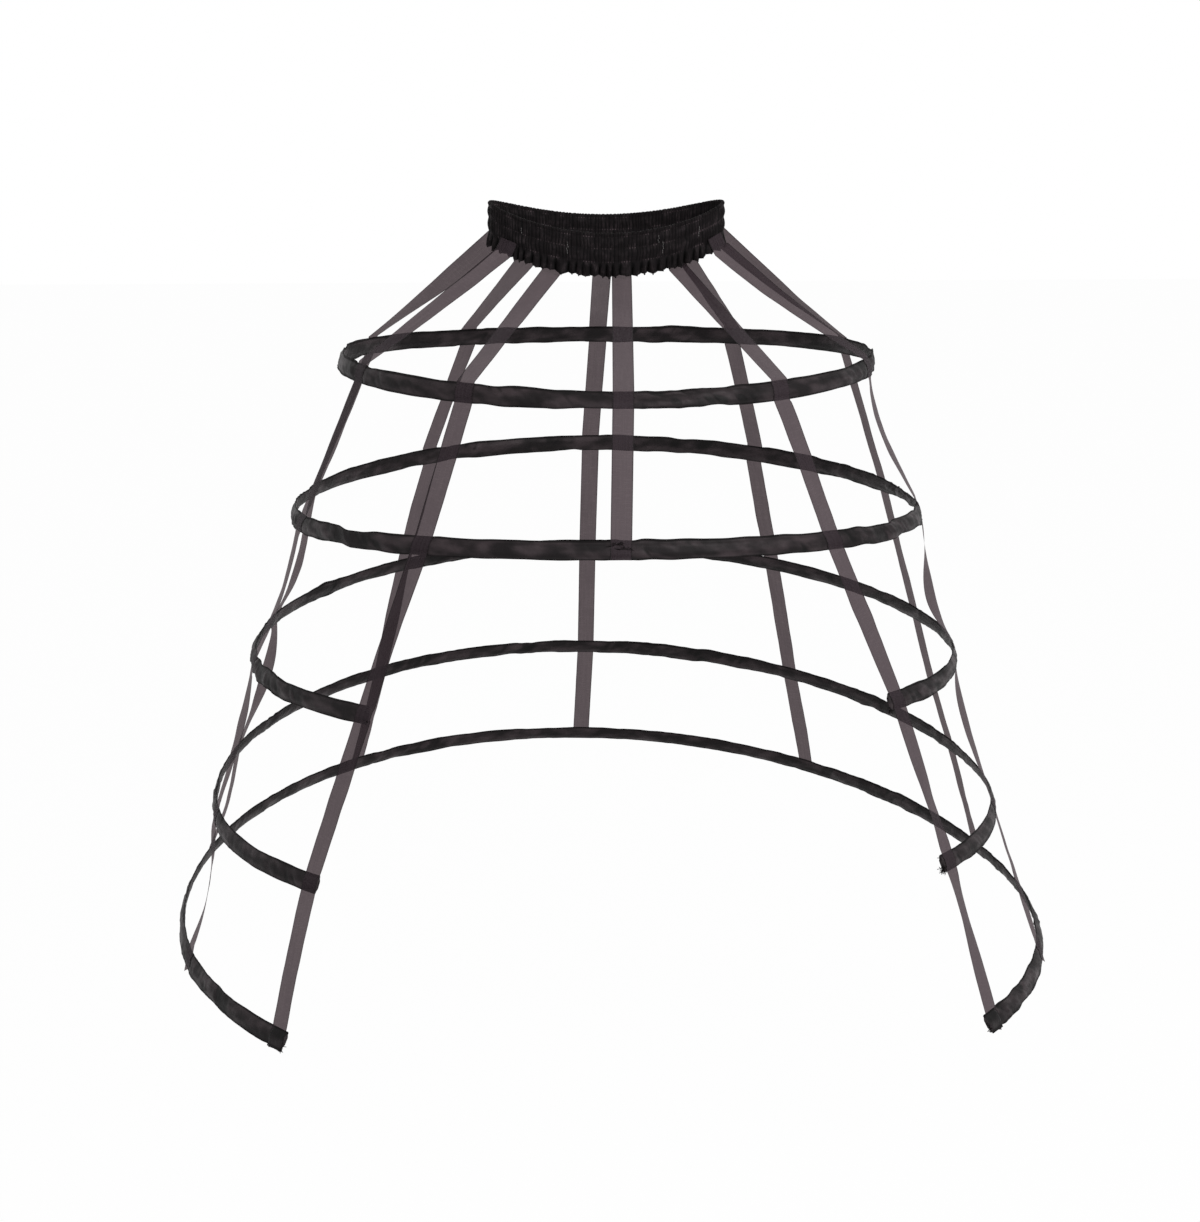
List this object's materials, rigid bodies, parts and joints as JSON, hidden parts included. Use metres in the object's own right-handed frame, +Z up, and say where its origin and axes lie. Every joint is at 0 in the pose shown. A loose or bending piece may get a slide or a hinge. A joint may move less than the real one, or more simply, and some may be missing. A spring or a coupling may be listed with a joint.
{
  "type": "crinoline cage",
  "caption": "Open-front hooped petticoat cage of satin-cased boning hung on sheer ribbons from a gathered elastic waistband.",
  "frame": {"origin": "middle of the waist opening, level with the waistband's top edge at its two sides", "axes": "+Z up out of the waist opening, -Y towards the open front, +X towards the wearer's left"},
  "size_m": [1.1708, 1.1601, 0.9855],
  "materials": {
    "satin": "black polyester satin with a soft sheen",
    "organza": "sheer black organza ribbon with woven edges",
    "elastic": "woven black elastic",
    "boning": "white plastic-covered flat boning",
    "sleeve": "crimped tinplate",
    "tip": "white moulded cap"
  },
  "bodies": {
    "root": {"waist_casing": "satin", "waist_elastic": "elastic", "ribbon_front_centre": "organza", "ribbon_front_right": "organza", "ribbon_side_right": "organza", "ribbon_back_side_right": "organza", "ribbon_back_right": "organza", "ribbon_back_centre": "organza", "ribbon_back_left": "organza", "ribbon_back_side_left": "organza", "ribbon_side_left": "organza", "ribbon_front_left": "organza", "hoop_1_casing": "satin", "hoop_1_bone": "boning", "hoop_1_joiner": "sleeve", "hoop_2_casing": "satin", "hoop_2_bone": "boning", "hoop_2_joiner": "sleeve", "hoop_3_casing": "satin", "hoop_3_bone": "boning", "hoop_3_tip_right": "tip", "hoop_3_tip_left": "tip", "hoop_4_casing": "satin", "hoop_4_bone": "boning", "hoop_4_tip_right": "tip", "hoop_4_tip_left": "tip", "hoop_5_casing": "satin", "hoop_5_bone": "boning", "hoop_5_tip_right": "tip", "hoop_5_tip_left": "tip"}
  },
  "joints": []
}
